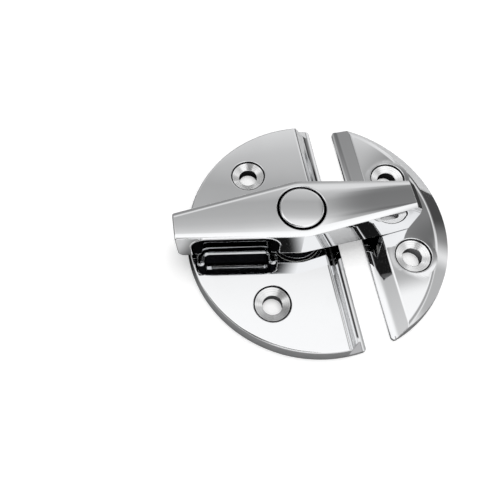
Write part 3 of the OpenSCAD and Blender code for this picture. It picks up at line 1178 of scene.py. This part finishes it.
@dataclass
class TurnBar:
    """The double-tapered turn bar, a hollow casting.

    Attributes:
        pivot: place of the pivot on X in millimetres.
        arm: length of the handle arm.
        catch: length of the catch arm.
        width: width at the pivot.
        arm_end: width of the handle end.
        catch_end: width of the catch end.
        top: height of the top.
        under: height of the underside.
        arm_drop: drop of the top towards the handle end.
        drop: drop of the top towards the catch end.
        foot: height of the catch foot.
        foot_length: length of the catch foot.
        knee: distance from the pivot to where the underside falls towards the catch foot.
        edge: rounding of the upper edges.
        meet: angle in degrees at which that rounding meets the walls.
        soft: softened edges of the handle end.
        bevel: bevel at the catch end.
        lean: how far the catch end leans in at its foot.
        draft: how far the walls lean out.
        wall: thickness of the walls.
        roof: thickness of the roof.
        solid: length of the catch end that isn't hollow.
        bite: how far pieces of the casting and cutters reach into each other.
        hub: radius of the hub.
        hub_wall: distance from the hub to the hollows.
        hub_foot: height of the hub's foot.
        hub_top: height of the hub's top, which is the floor of the well.
        post: radius of the hole for the post.
        well: radius of the button's well.
        chamfer: width of the polished edge of the well.
        grip: the finger grip.
    """

    pivot: float = PIVOT
    arm: float = 29.4
    catch: float = 28.1
    width: float = 14.5
    arm_end: float = 6.8
    catch_end: float = 7.3
    top: float = 15.0
    under: float = 6.8
    arm_drop: float = 0.1
    drop: float = 0.7
    foot: float = 4.01
    foot_length: float = 6.0
    knee: float = 1.0
    edge: float = 3.2
    meet: float = 65.0
    soft: float = 0.4
    bevel: float = 1.6
    lean: float = 0.9
    draft: float = 0.3
    wall: float = 1.6
    roof: float = 1.8
    solid: float = 7.0
    bite: float = 0.4
    hub: float = 6.2
    hub_wall: float = 1.4
    hub_foot: float = 4.3
    hub_top: float = 9.4
    post: float = 2.66
    well: float = 5.62
    chamfer: float = 0.2
    grip: FingerGrip = FingerGrip()

    def _slice(self, x: float, half: float, top: float, bottom: float) -> list[Point3]:
        """Points of an upright slice with rounded upper corners.

        Args:
            x: place along the bar.
            half: half its width.
            top: height of its top.
            bottom: height of its foot.

        Returns:
            The points.
        """
        points = [(x, half + self.draft, bottom), (x, -half - self.draft, bottom)]
        for y, z in self._edge(half, top):
            points += [(x, y, z), (x, -y, z)]
        return points

    def _edge(self, half: float, top: float) -> list[Point2]:
        """Points of the rounding between wall and top.

        Args:
            half: distance of the wall from the middle.
            top: height of the top.

        Returns:
            Distance and height of each point.
        """
        inner = half - self.edge * math.cos(math.radians(self.meet))
        return arc((inner, top - self.edge), self.edge, self.meet, 90, 20)

    def _middle(self) -> list[Point3]:
        """Points of the round middle of the bar."""
        points = []
        half = self.width / 2
        for k in range(360):
            turn = 2 * math.pi * k / 360
            c, s = math.cos(turn), math.sin(turn)
            points.append(((half + self.draft) * c, (half + self.draft) * s, self.foot))
            for r, z in self._edge(half, self.top):
                points.append((r * c, r * s, z))
        return points

    def _outer(self) -> bpy.types.Object:
        """Builds the convex outer shape."""
        arm_half, catch_half = self.arm_end / 2, self.catch_end / 2
        level, catch_top = self.top - self.arm_drop, self.top - self.drop
        points = self._middle()
        # The rounded handle end: place, inset, drop and foot of each slice.
        ends = (
            (0.0, self.soft / 2, self.soft, self.under + 3.5 * self.soft),
            (0.3 * self.soft, 0.06, 0.3 * self.soft, self.under + 2.6 * self.soft),
            (self.soft, 0.0, 0.0, self.under + 1.65 * self.soft),
            (1.8 * self.soft, 0.0, 0.0, self.under + 0.65 * self.soft),
            (8 * self.soft, 0.0, 0.0, self.foot),
        )
        for x, inset, lower, bottom in ends:
            points += self._slice(-self.arm + x, arm_half - inset, level - lower, bottom)
        points += self._slice(self.catch - self.bevel, catch_half, catch_top, self.foot)
        points += self._slice(self.catch - self.lean, catch_half, catch_top - self.bevel, self.foot)
        nose = catch_top - self.bevel
        points += self._slice(self.catch, catch_half - self.soft / 2, nose, nose - self.bevel)
        return Bench.skin("turn_bar_chrome", [(x + self.pivot, y, z) for x, y, z in points])

    def _hollows(self) -> list[bpy.types.Object]:
        """Builds the cutters of the two hollows."""
        px, half = self.pivot, self.width / 2
        cavity, start = self.top - self.roof, self.hub + self.hub_wall
        made = []
        for way, length, last, end_half, drop in (
            (-1.0, self.arm, self.arm - self.wall, self.arm_end / 2, 0.0),
            (1.0, self.catch, self.catch - self.solid, self.catch_end / 2, self.drop),
        ):
            taper = (half - end_half) / length
            w0, w1 = half - self.wall - taper * start, half - self.wall - taper * last
            room = [(px + way * start, -w0), (px + way * start, w0), (px + way * last, w1), (px + way * last, -w1)]
            made.append(Bench.prism("hollow", room, upright, -PAST, cavity - drop))
        return made

    def build(self, chrome: bpy.types.Material, rough: bpy.types.Material) -> bpy.types.Object:
        """Builds and dresses the bar.

        Args:
            chrome: material of the polished faces.
            rough: material of the casting inside, dull and near-black as painted shade.

        Returns:
            The finished piece.
        """
        px, half = self.pivot, self.width / 2
        lean = math.atan((half - self.arm_end / 2) / self.arm)
        c, s = math.cos(lean), math.sin(lean)

        def in_wall(u: float, v: float, level: float) -> Point3:
            """Places a plan that is drawn along the front wall."""
            return (px + c * u + s * v, c * v - s * u - half, level)

        def on_wall(u: float, v: float, level: float) -> Point3:
            """Places an elevation that is drawn on the front wall."""
            return in_wall(u, level, v)

        ceiling = self.top - self.edge * (1 - math.sin(math.radians(self.meet))) - self.grip.roof
        bar = self._outer()
        dress(bar, chrome)
        Bench.work(bar, [self.grip.rim(ceiling, on_wall)], "UNION")
        below = [(px - FAR, -PAST), (px - FAR, self.under), (px + self.knee, self.under)]
        below += [(px + self.catch - self.foot_length, self.foot), (px + FAR, self.foot), (px + FAR, -PAST)]
        tools = [*self._hollows(), self.grip.opening(ceiling, self.wall + self.bite, on_wall)]
        # The casting inside is coloured near-black as painted shade.
        for tool in tools[:2]:
            dress(tool, rough)
        dress(tools[2], chrome)
        tools.append(Bench.prism("below", below, across, -FAR, FAR))
        dress(tools[3], chrome)
        Bench.work(bar, tools)
        hub = [(0.0, self.hub_foot), (self.hub, self.hub_foot), (self.hub, self.hub_top), (0.0, self.hub_top)]
        ribbon = self.grip.ribbon(self.under, self.top - self.roof + self.bite, in_wall)
        Bench.work(ribbon, [self.grip.room(ceiling, on_wall)], "INTERSECT")
        dress(ribbon, rough)
        ribbon.data.materials.append(chrome)
        for part in ribbon.data.polygons:
            part.material_index = int(part.center.z < (self.under + self.grip.lip_soft) * MM)
        boss = Bench.lathe("hub", hub, (px, 0.0), 160)
        dress(boss, rough)
        Bench.work(bar, [boss, ribbon], "UNION")
        edge = self.chamfer
        well = [(0.0, 0.0), (self.post, 0.0), (self.post, self.hub_top), (self.well, self.hub_top)]
        well += [(self.well, self.top - edge), (self.well + 0.3 * edge, self.top - 0.4 * edge)]
        well += [(self.well + edge, self.top + 0.1 * edge), (self.well + edge, FAR), (0.0, FAR)]
        hole = Bench.lathe("well", well, (px, 0.0), 192)
        dress(hole, rough)
        hole.data.materials.append(chrome)
        for part in hole.data.polygons:
            part.material_index = int(part.center.z > (self.top - 0.8 * edge) * MM)
        Bench.work(bar, [hole])
        Bench.settle(bar)
        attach(bar, Body.BAR.value)
        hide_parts("turn_bar")
        return bar


@dataclass
class PushButton:
    """The round button in the middle of the bar, with its skirt and stem.

    Attributes:
        pivot: place of the pivot on X in millimetres.
        radius: radius of the button.
        top: height of its face.
        thick: thickness of its face.
        edge: rounding of its edge.
        skirt: inner radius of the skirt.
        skirt_foot: height of the skirt's foot.
        stem: radius of the stem.
        stem_foot: height of the stem's foot.
    """

    pivot: float = PIVOT
    radius: float = 5.1
    top: float = 15.25
    thick: float = 1.5
    edge: float = 0.45
    skirt: float = 3.95
    skirt_foot: float = 11.25
    stem: float = 1.25
    stem_foot: float = 3.0

    def build(self, chrome: bpy.types.Material) -> bpy.types.Object:
        """Builds and dresses the button.

        Args:
            chrome: its material.

        Returns:
            The finished piece.
        """
        under = self.top - self.thick
        profile = [(0.0, self.stem_foot), (self.stem, self.stem_foot), (self.stem, under), (self.skirt, under)]
        profile += [(self.skirt, self.skirt_foot), (self.radius, self.skirt_foot)]
        profile += arc((self.radius - self.edge, self.top - self.edge), self.edge, 0, 90, 8)
        profile += [(0.0, self.top)]
        button = Bench.lathe("push_button_chrome", profile, (self.pivot, 0.0), 256)
        Bench.settle(button)
        dress(button, chrome)
        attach(button, Body.BUTTON.value)
        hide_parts("push_button")
        return button


@dataclass
class ButtonSpring:
    """The coil spring under the button.

    Attributes:
        pivot: place of the pivot on X in millimetres.
        radius: radius of the coil to the middle of the wire.
        wire: thickness of the wire.
        turns: number of turns.
        foot: height of its lower end.
        height: its height at rest.
        travel: how far the button goes in; not used.
    """

    pivot: float = PIVOT
    radius: float = 3.38
    wire: float = 0.44
    turns: float = 3.0
    foot: float = 10.5
    height: float = 3.25
    travel: float = 1.4

    def build(self, steel: bpy.types.Material) -> bpy.types.Object:
        """Builds and dresses the spring.

        Args:
            steel: its material.

        Returns:
            The finished piece.
        """
        steps, r = int(self.turns * 48), self.wire / 2 - 0.01
        sections = []
        for k in range(steps + 1):
            turn = 2 * math.pi * self.turns * k / steps
            z = self.foot + self.wire / 2 + (self.height - self.wire) * k / steps
            around = [2 * math.pi * n / 14 for n in range(14)]
            ring = [(self.radius + r * math.cos(t), z + r * math.sin(t)) for t in around]
            sections.append([(self.pivot + x * math.cos(turn), x * math.sin(turn), up) for x, up in ring])
        coil = Bench.loft("button_spring_coil", sections)
        Bench.settle(coil, 40.0)
        dress(coil, steel)
        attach(coil, Body.BAR.value)
        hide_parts("button_spring")
        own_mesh(coil)
        return coil


@dataclass(frozen=True)
class Screen:
    """A grey screen of the studio, which the chrome shows.

    Attributes:
        shade: share of the light that it takes away.
        where: the directions that it covers.
    """

    shade: float
    where: Patch

    def leaves(self, at: Sequence[Value]) -> Value:
        """Returns the share of the light that the screen leaves in a direction."""
        return 1.0 - self.shade * self.where.cover(at)


@dataclass(frozen=True)
class DarkSpot:
    """A round dark spot of the studio, such as the camera.

    Attributes:
        way: direction of its middle.
        fade: cosines of the angles at which it begins and is full.
        shade: how dark it is.
    """

    way: Point3
    fade: Fade
    shade: float = 1.0

    def cover(self, at: Sequence[Value]) -> Value:
        """Returns how far the spot covers a direction."""
        along = at[0] * self.way[0] + at[1] * self.way[1] + at[2] * self.way[2]
        return along.ramp(*self.fade) * self.shade


@dataclass
class Studio:
    """Camera, pale floor and soft light.

    Attributes:
        eye: place of the camera in metres.
        yaw: heading of the camera in degrees, 0 looks along +Y.
        pitch: how far it looks down in degrees.
        roll: turn about its own axis in degrees.
        focal: focal length in pixels.
        wide: width of the frame in pixels.
        sensor: width of the sensor in millimetres.
        floor_half: half the width of the floor in metres.
        floor_drop: how far it lies below the part in metres.
        tent: brightness of the tent overhead, from its front to its back.
        low_screens: screens in the lower part of the studio.
        high_screens: screens before the tent.
        right_screen: screen on the right.
        strip: gap at the back that stays bright.
        far_left: dark screen behind on the left.
        lamp: place of the lamp in metres.
        lamp_size: width of the lamp in metres.
        lamp_power: power of the lamp in watts.
    """

    eye: Point3 = (-0.02532, -0.051398, 0.111007)
    yaw: float = -7.625
    pitch: float = 64.407
    roll: float = -1.32
    focal: float = 483.7
    wide: float = 480.0
    sensor: float = 36.0
    floor_half: float = 1.5
    floor_drop: float = 0.00005
    tent: tuple[Point2, ...] = (
        (0.0, 1.16), (0.3, 1.1), (0.36, 1.04), (0.405, 0.92), (0.43, 0.68), (0.455, 0.56),
        (0.49, 0.49), (0.54, 0.45), (0.565, 0.53), (0.61, 0.63), (1.0, 0.63),
    )
    low_screens: tuple[Screen, ...] = (
        Screen(0.7, Patch(y=((0.08, 0.22), (0.72, 0.6)), z=((0.3, 0.12),))),
        Screen(0.75, Patch(x=((0.45, 0.6),), y=((0.2, 0.35), (0.72, 0.6)), z=((0.55, 0.35),))),
        Screen(0.45, Patch(x=((0.8, 0.9),), y=((0.12, 0.0),))),
    )
    high_screens: tuple[Screen, ...] = (
        Screen(0.52, Patch(x=((0.45, 0.62),))),
        Screen(0.5, Patch(x=((0.27, 0.35),), y=((0.255, 0.295), (0.395, 0.345)))),
    )
    right_screen: Screen = Screen(0.32, Patch(x=((0.5, 0.62),), z=((0.58, 0.66),)))
    strip: Patch = Patch(x=((-0.3, -0.1),), y=((0.42, 0.52),), z=((0.6, 0.68),))
    far_left: Patch = Patch(x=((-0.22, -0.42),), y=((0.25, 0.4),), z=((0.88, 0.78), (0.46, 0.62)))
    lamp: Point3 = (0.1, 0.15, 0.7)
    lamp_size: float = 0.5
    lamp_power: float = 2.6

    def camera(self) -> bpy.types.Object:
        """Sets the camera at the photograph's viewpoint.

        Returns:
            The camera.
        """
        a, e, r = (math.radians(v) for v in (self.yaw, self.pitch, self.roll))
        back = Vector((math.sin(a) * math.cos(e), -math.cos(a) * math.cos(e), math.sin(e)))
        right = Vector((0.0, 0.0, 1.0)).cross(back).normalized()
        up = back.cross(right)
        right, up = math.cos(r) * right + math.sin(r) * up, math.cos(r) * up - math.sin(r) * right
        data = bpy.data.cameras.new("camera")
        data.sensor_fit = "HORIZONTAL"
        data.sensor_width = self.sensor
        data.lens = self.sensor * self.focal / self.wide
        data.clip_start = MM
        made = bpy.data.objects.new("camera", data)
        bpy.context.scene.collection.objects.link(made)
        turn = Matrix((right, up, back)).transposed().to_4x4()
        made.matrix_world = Matrix.Translation(self.eye) @ turn
        bpy.context.scene.camera = made
        return made

    def floor(self) -> bpy.types.Object:
        """Lays the pale floor; for the chrome its colour has painted shade under the part and close to its rim.

        Returns:
            The floor.
        """
        bm = bmesh.new()
        bmesh.ops.create_grid(bm, x_segments=1, y_segments=1, size=self.floor_half)
        made = Bench.from_bmesh("floor", bm)
        made.location.z = -self.floor_drop
        material, g, place = blank("pale_floor")
        grain = g.noise(place, 300.0, 2.0)
        camera = g.node("ShaderNodeLightPath", output="Is Camera Ray")
        glossy = g.node("ShaderNodeLightPath", output="Is Glossy Ray")
        pale = g.node("ShaderNodeBsdfDiffuse", inputs={"Color": (0.8, 0.8, 0.8, 1.0), "Roughness": 1.0})
        x, y, _ = g.xyz(place)
        away = x * x + y * y
        # Painted shade for glossy rays: the floor is coloured darker under the part and close to its rim.
        rim = 1.0 - 0.6 * away.ramp(0.00137, 0.0011) * away.ramp(0.00078, 0.00096)
        under = 0.05 + 0.63 * (y.ramp(-0.002, -0.01) + y.ramp(0.02, 0.025))
        floor_painted_shade = g.node("ShaderNodeBsdfDiffuse", inputs={"Color": under * rim, "Roughness": 1.0})
        shade = g.node("ShaderNodeMixShader", inputs={0: glossy, 1: pale, 2: floor_painted_shade})
        seen = camera * (0.31 + 0.02 * grain)
        glow = g.node("ShaderNodeEmission", inputs={"Color": WHITE, "Strength": seen})
        both = g.node("ShaderNodeAddShader", inputs={0: shade, 1: glow})
        g.node("ShaderNodeOutputMaterial", inputs={"Surface": both})
        dress(made, material)
        return made

    def _grey(self, g: Graph, at: Sequence[Value]) -> Value:
        """Works out the studio's brightness without its dark spots.

        Args:
            g: the world's graph.
            at: the direction's three coordinates.

        Returns:
            The brightness.
        """
        x, y, z = at
        low = 0.31 + 0.63 * (0.35 * x - 0.8 * y).ramp(-0.72, -0.3)
        high = g.node("ShaderNodeValToRGB", {"stops": self.tent}, {0: y + 0.2 * x})
        for screen in self.low_screens:
            low = low * screen.leaves(at)
        for screen in self.high_screens:
            high = high * screen.leaves(at)
        grey = g.mix(z.ramp(0.5, 0.8), low, high) * self.right_screen.leaves(at)
        strip = (z + 0.12 * x).ramp(0.83, 0.79) * self.strip.cover(at)
        return g.mix(strip, grey, (0.82, 0.82, 0.82, 1.0))

    def sky(self) -> None:
        """Paints the studio round the object: white tent above, grey behind, dark at the camera."""
        world = bpy.data.worlds.new("studio")
        bpy.context.scene.world = world
        world.use_nodes = True
        g = Graph(world.node_tree)
        at = g.xyz(g.node("ShaderNodeTexCoord", output="Generated"))
        dark = 0.62 * self.far_left.cover(at)
        for spot in (
            DarkSpot((0.44, 0.42, 0.794), (0.986, 0.9985), 0.56),
            DarkSpot(tuple(Vector(self.eye).normalized()), (0.955, 0.968)),
            DarkSpot((-0.8, -0.45, 0.4), (0.86, 0.93)),
        ):
            dark = dark.at_least(spot.cover(at))
        tone = g.mix(dark, self._grey(g, at), (0.012, 0.012, 0.012, 1.0))
        room = g.node("ShaderNodeBackground", inputs={"Color": tone, "Strength": 1.0})
        seen = g.node("ShaderNodeBackground", inputs={"Color": WHITE, "Strength": 1.0})
        camera = g.node("ShaderNodeLightPath", output="Is Camera Ray")
        both = g.node("ShaderNodeMixShader", inputs={0: camera, 1: room, 2: seen})
        g.node("ShaderNodeOutputWorld", inputs={"Surface": both})

    def lamps(self) -> None:
        """Hangs one soft lamp above the object."""
        data = bpy.data.lights.new("soft_top", "AREA")
        data.shape = "DISK"
        data.size = self.lamp_size
        data.energy = self.lamp_power
        made = bpy.data.objects.new("soft_top", data)
        made.location = self.lamp
        made.rotation_euler = Vector(self.lamp).to_track_quat("Z", "Y").to_euler()
        made.visible_glossy = False
        bpy.context.scene.collection.objects.link(made)


def main() -> None:
    """Builds the latch piece by piece."""
    logging.basicConfig(level=logging.INFO, format="%(name)s: %(message)s")
    scene = bpy.context.scene
    scene.view_settings.view_transform = "Standard"
    studio = Studio()
    studio.camera()
    studio.floor()
    studio.sky()
    studio.lamps()
    # Painted shade: grey where the base's ledge ends at the rim.
    painted_step_grey = Patch(x=((1.4, 1.6),), y=((-28.9, -29.1),), z=((1.0, 1.05), (1.2, 1.15)))
    # Painted shade and reflection: near-black along the foot of the base's slope.
    painted_crease_shade = Patch(x=((4.15, 4.3), (4.85, 4.7)), y=((21.0, 17.0), (-28.4, -27.8)), z=((0.5, 0.8), (1.9, 1.6)))
    plate_chrome = ChromeFinish("plate_chrome", painted_grey=painted_step_grey, dull=painted_crease_shade).material()
    bar_chrome = ChromeFinish("bar_chrome", crown=0.00012).material()
    button_chrome = ChromeFinish("button_chrome").material()
    steel = TurnedSteelFinish("turned_steel").material()
    nylon = NylonFinish("natural_nylon").material()
    # Dull casting whose near-black tint is painted shade on the bar's inside, grip lip and well.
    rough = CastFinish("casting_with_painted_shade", (0.014, 0.014, 0.016)).material()
    bored = CastFinish("bored_metal", (0.32, 0.32, 0.33), 0.3, 2500.0).material()
    # Near-black painted shade on the countersinks' steep lips.
    painted_lip_shade = CastFinish("lip_painted_shade", (0.03, 0.03, 0.032), 0.3, 2500.0).material()
    base, keeper = BasePlate(), KeeperPlate()
    base_sunk, keeper_sunk = (
        SunkFinish(name, (plate.holes[0].x, plate.holes[0].y)).material()
        for name, plate in (("base_countersinks", base), ("keeper_countersinks", keeper))
    )
    for piece in (
        base.build(PlateFinishes(plate_chrome, bored, painted_lip_shade, base_sunk)),
        keeper.build(PlateFinishes(plate_chrome, bored, painted_lip_shade, keeper_sunk)),
        TurnBar().build(bar_chrome, rough),
        PushButton().build(button_chrome),
        ButtonSpring().build(steel),
    ):
        LOG.info("%s: %d faces", piece.name, len(piece.data.polygons))
    for name in ("pivot_post", "wave_washer", "retaining_ring", "brake_washer", "stem_screw"):
        dress(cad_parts[name], steel)
        LOG.info("%s: steel", name)
    dress(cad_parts["thrust_washer"], nylon)
    LOG.info("thrust_washer: nylon")


if __name__ == "__main__":
    main()
